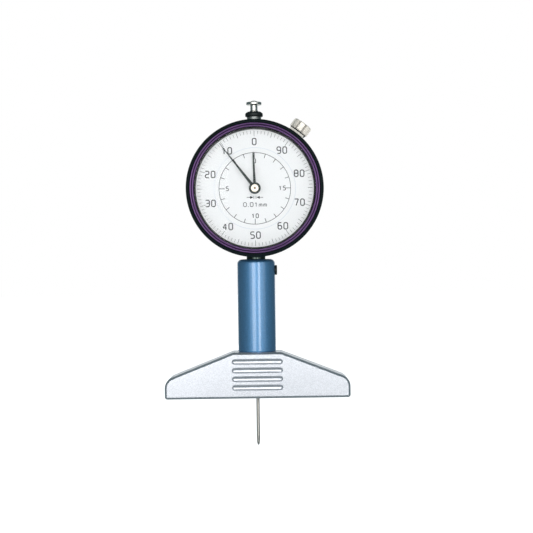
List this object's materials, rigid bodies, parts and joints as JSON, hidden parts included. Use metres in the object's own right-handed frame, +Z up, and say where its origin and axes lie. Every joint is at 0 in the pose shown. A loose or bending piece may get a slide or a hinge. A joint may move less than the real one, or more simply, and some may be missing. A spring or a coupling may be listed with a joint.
{
  "type": "tire tread gauge",
  "caption": "Dial depth gauge for tyre treads: wide base with a flat measuring face, round grip, dial head and a spring-loaded needle driven through a rack and gear train.",
  "frame": {"origin": "centre of the flat measuring face, on the needle's axis", "axes": "+Z up the needle's axis to the lifting cap, -Y out of the dial, +X to the dial's right"},
  "size_m": [0.0776, 0.023, 0.1457],
  "materials": {
    "satin_silver": "satin bead-blasted silver",
    "blue_anodised": "metallic blue, semi-gloss",
    "case_grey": "satin grey-green",
    "purple_black_anodised": "turned, purple band and black rim",
    "black_steel": "black oxide",
    "steel": "turned",
    "needle_steel": "ground, warm grey",
    "spring_steel": "drawn wire",
    "blued_steel": "blued",
    "nickel": "nickel plated",
    "brass": "machined",
    "bronze": "reamed bush",
    "clear_crystal": "clear, polished",
    "black_rubber": "matte",
    "dial_white": "matte white with black scales",
    "pointer_black": "satin black"
  },
  "bodies": {
    "root": {"base_block": "satin_silver", "grip_tube": "blue_anodised", "stem_set_screw": "black_steel", "case": "case_grey", "back_cover": "case_grey", "back_cover_screws": "steel", "lower_stem": "black_steel", "lower_bushing": "bronze", "upper_stem": "black_steel", "upper_bush": "bronze", "front_plate": "brass", "mid_plate": "brass", "plate_pillars": "brass", "movement_screws": "steel", "front_bush": "bronze", "arbor_bushes": "bronze", "rear_cock": "brass", "cock_pillars": "brass", "cock_screws": "steel", "guide_rod": "steel", "spring_post": "steel", "return_spring": "spring_steel", "hairspring": "blued_steel", "hairspring_stud": "steel", "bezel_spring_ring": "spring_steel"},
    "spindle": {"spindle": "steel", "lifting_cap": "nickel", "guide_arm": "brass", "needle_holder": "brass", "needle": "needle_steel"},
    "bezel": {"bezel": "purple_black_anodised", "crystal": "clear_crystal", "crystal_seal": "black_rubber", "dial_plate": "dial_white", "dial_retaining_ring": "spring_steel"},
    "pointer": {"centre_arbor": "steel", "long_pointer": "pointer_black", "pointer_boss": "nickel"},
    "counter": {"counter_wheel": "brass", "counter_sleeve": "brass", "short_pointer": "pointer_black"},
    "rack_train": {"rack_arbor": "steel", "main_gear": "brass", "counter_pinion": "brass"},
    "takeup": {"takeup_arbor": "steel", "takeup_gear": "brass", "hairspring_collet": "brass"},
    "clamp_claw": {"clamp_claw": "nickel"},
    "clamp_screw": {"clamp_knob": "nickel"}
  },
  "joints": [
    {"name": "spindle_slide", "type": "slide", "parent": "root", "child": "spindle", "axis": [0, 0, 1], "range_m": [0, 0.0205], "stiffness_N_per_m": 25, "springref_m": -0.036, "deforming": ["return_spring"]},
    {"name": "pointer_turn", "type": "hinge", "parent": "root", "child": "pointer", "pos_m": [0, 0, 0.0875], "axis": [0, 1, 0], "range_deg": [0, 7381]},
    {"name": "counter_turn", "type": "hinge", "parent": "root", "child": "counter", "pos_m": [0, 0, 0.0875], "axis": [0, 1, 0], "range_deg": [0, 370]},
    {"name": "rack_arbor_turn", "type": "hinge", "parent": "root", "child": "rack_train", "pos_m": [-0.00329, 0, 0.07816], "axis": [0, 1, 0], "range_deg": [-739, 0]},
    {"name": "takeup_turn", "type": "hinge", "parent": "root", "child": "takeup", "pos_m": [0.00329, 0, 0.09684], "axis": [0, 1, 0], "range_deg": [-739, 0]},
    {"name": "bezel_turn", "type": "hinge", "parent": "root", "child": "bezel", "pos_m": [0, 0, 0.0875], "axis": [0, 1, 0], "continuous": true},
    {"name": "clamp_slide", "type": "slide", "parent": "root", "child": "clamp_claw", "axis": [0.6046, 0, 0.7965], "range_m": [0, 0.001]},
    {"name": "clamp_screw_turn", "type": "hinge", "parent": "clamp_claw", "child": "clamp_screw", "pos_m": [0, -0.0026, 0.0875], "axis": [0.6046, 0, 0.7965], "range_deg": [0, 721]}
  ],
  "couplings": [
    {"joint": "pointer_turn", "follows": "spindle_slide", "rad_per_m": 6283.2},
    {"joint": "counter_turn", "follows": "spindle_slide", "rad_per_m": 314.16},
    {"joint": "rack_arbor_turn", "follows": "spindle_slide", "rad_per_m": -628.32},
    {"joint": "takeup_turn", "follows": "spindle_slide", "rad_per_m": -628.32},
    {"joint": "clamp_screw_turn", "follows": "clamp_slide", "rad_per_m": 12566}
  ]
}
